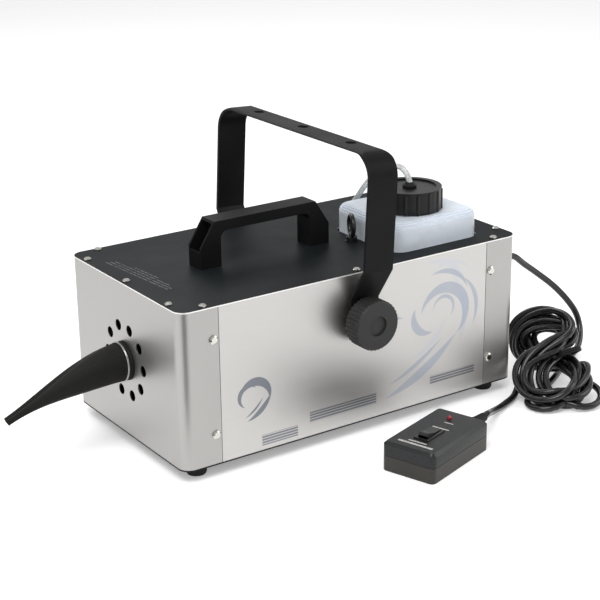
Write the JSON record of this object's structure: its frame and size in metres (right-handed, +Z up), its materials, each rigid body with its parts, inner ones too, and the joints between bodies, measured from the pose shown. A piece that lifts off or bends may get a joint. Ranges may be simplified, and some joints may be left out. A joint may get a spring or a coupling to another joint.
{
  "type": "fog machine",
  "caption": "Sheet-metal snow and fog machine with blower nozzle and cloth sock, lift-out fluid bottle, hanging bracket with clamp knobs, carry handle and wired remote.",
  "frame": {"origin": "floor point under the middle of the metal box", "axes": "-X towards the nozzle and sock, -Y the left side with the remote, +Z up"},
  "size_m": [0.6696, 0.3747, 0.2902],
  "materials": {
    "black_bar": "satin powder coat",
    "black_plastic": "fine grained",
    "black_rubber": "matt",
    "black_sheet": "fine textured powder coat",
    "board": "solder resist",
    "brass": "turned",
    "brushed_panel": "fine brushed",
    "cap_plastic": "semi gloss",
    "cast_grey": "moulded",
    "clear_hose": "translucent",
    "cord_pvc": "soft sheen",
    "knob_plastic": "matt moulded",
    "natural_plastic": "translucent",
    "nickel": "nickel plated",
    "remote_plastic": "semi gloss",
    "sock_cloth": "fine plain weave",
    "zinc_sheet": "zinc plated"
  },
  "bodies": {
    "root": {"base_plate": "black_sheet", "nozzle_end_cap": "brushed_panel", "rear_end_cap": "brushed_panel", "side_panel_left": "brushed_panel", "side_panel_right": "brushed_panel", "top_plate": "black_sheet", "seam_strips": "zinc_sheet", "rubber_feet": "black_rubber", "foot_fasteners": "nickel", "base_screws": "nickel", "top_screws": "nickel", "side_screws": "nickel", "carry_handle": "black_plastic", "handle_fasteners": "nickel", "eye_bolt": "black_bar", "outlet_pipe": "black_plastic", "pipe_collar": "black_rubber", "sock": "sock_cloth", "sock_band": "nickel", "duct_adapter": "cast_grey", "spray_nozzle": "brass", "pressure_hose": "clear_hose", "blower_housing": "cast_grey", "blower_cover": "cast_grey", "blower_motor": "zinc_sheet", "fluid_pump": "zinc_sheet", "pump_cradle": "zinc_sheet", "suction_hose": "clear_hose", "control_board": "board", "board_parts": "cast_grey", "board_standoffs": "brass", "bottle_tray": "zinc_sheet", "hose_grommet": "black_rubber", "pivot_washers": "black_rubber", "pivot_nuts": "nickel", "power_inlet": "black_plastic", "switch_frame": "black_plastic", "remote_socket": "black_plastic", "remote_base": "remote_plastic", "remote_top": "remote_plastic", "remote_board": "board", "remote_fittings": "cap_plastic", "cord_boot": "cord_pvc", "cord_plug": "black_plastic", "cord_lead": "cord_pvc", "cord_hank": "cord_pvc"},
    "rotor": {"impeller": "cast_grey", "motor_shaft": "nickel"},
    "bottle_body": {"bottle": "natural_plastic", "cap_gland": "black_rubber", "pickup_tube": "clear_hose", "fluid_hose": "clear_hose"},
    "cap": {"bottle_cap": "cap_plastic"},
    "hanger": {"hanging_bracket": "black_bar"},
    "left_clamp": {"knob_left": "knob_plastic", "stud_left": "nickel"},
    "right_clamp": {"knob_right": "knob_plastic", "stud_right": "nickel"},
    "power_switch": {"power_rocker": "cap_plastic"},
    "remote_switch": {"remote_rocker": "cap_plastic"}
  },
  "joints": [
    {"name": "bracket_tilt", "type": "hinge", "parent": "root", "child": "hanger", "pos_m": [0, 0, 0.123], "axis": [0, 1, 0], "range_deg": [-67, 11]},
    {"name": "knob_left_turn", "type": "hinge", "parent": "root", "child": "left_clamp", "pos_m": [0, -0.114, 0.123], "axis": [0, -1, 0], "range_deg": [0, 360]},
    {"name": "knob_right_turn", "type": "hinge", "parent": "root", "child": "right_clamp", "pos_m": [0, 0.114, 0.123], "axis": [0, 1, 0], "range_deg": [0, 360]},
    {"name": "bottle_lift", "type": "slide", "parent": "root", "child": "bottle_body", "axis": [0, 0, 1], "range_m": [0, 0.105], "deforming": ["fluid_hose"]},
    {"name": "cap_turn", "type": "hinge", "parent": "bottle_body", "child": "cap", "pos_m": [0.112, -0.04, 0.21], "axis": [0, 0, 1], "range_deg": [0, 360]},
    {"name": "impeller_spin", "type": "hinge", "parent": "root", "child": "rotor", "pos_m": [-0.092, 0, 0.063], "axis": [0, 1, 0], "continuous": true},
    {"name": "power_rock", "type": "hinge", "parent": "root", "child": "power_switch", "pos_m": [0.198, 0.045, 0.106], "axis": [0, 1, 0], "range_deg": [0, 20]},
    {"name": "remote_rock", "type": "hinge", "parent": "root", "child": "remote_switch", "pos_m": [0.01362, -0.19981, 0.0304], "axis": [-0.3173, 0.9483, 0], "range_deg": [-20, 0]}
  ]
}
